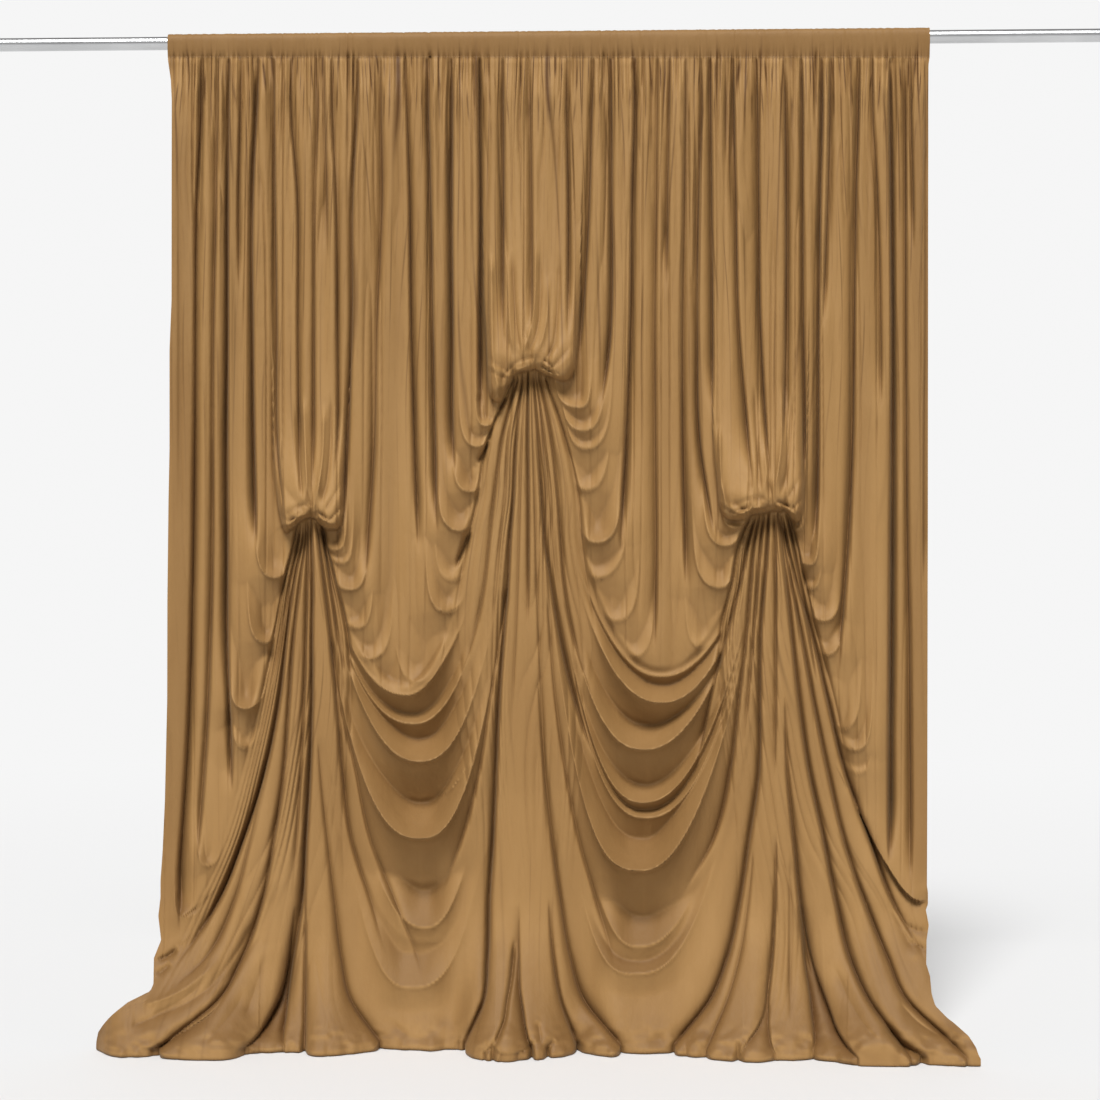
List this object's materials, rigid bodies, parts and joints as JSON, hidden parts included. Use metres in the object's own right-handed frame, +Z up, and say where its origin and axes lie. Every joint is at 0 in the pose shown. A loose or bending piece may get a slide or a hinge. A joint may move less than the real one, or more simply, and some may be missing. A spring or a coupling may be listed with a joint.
{
  "type": "backdrop curtain on a crossbar pole",
  "caption": "Floor-length stretch backdrop curtain with a gathered rod-pocket header, drawn up into puffs, fans and swags, on its straight crossbar pole.",
  "frame": {"origin": "middle of the pole, on its axis, at the mount crossbar_hold", "axes": "+X along the pole to the curtain's right as seen from its front, -Y out of the cloth's face, +Z up; the floor is at z = -3.03 m"},
  "size_m": [3.6, 0.3851, 3.0552],
  "materials": {
    "spandex": "soft satin knit",
    "aluminium": "satin"
  },
  "bodies": {
    "root": {"curtain": "spandex", "pole": "aluminium"}
  },
  "joints": []
}
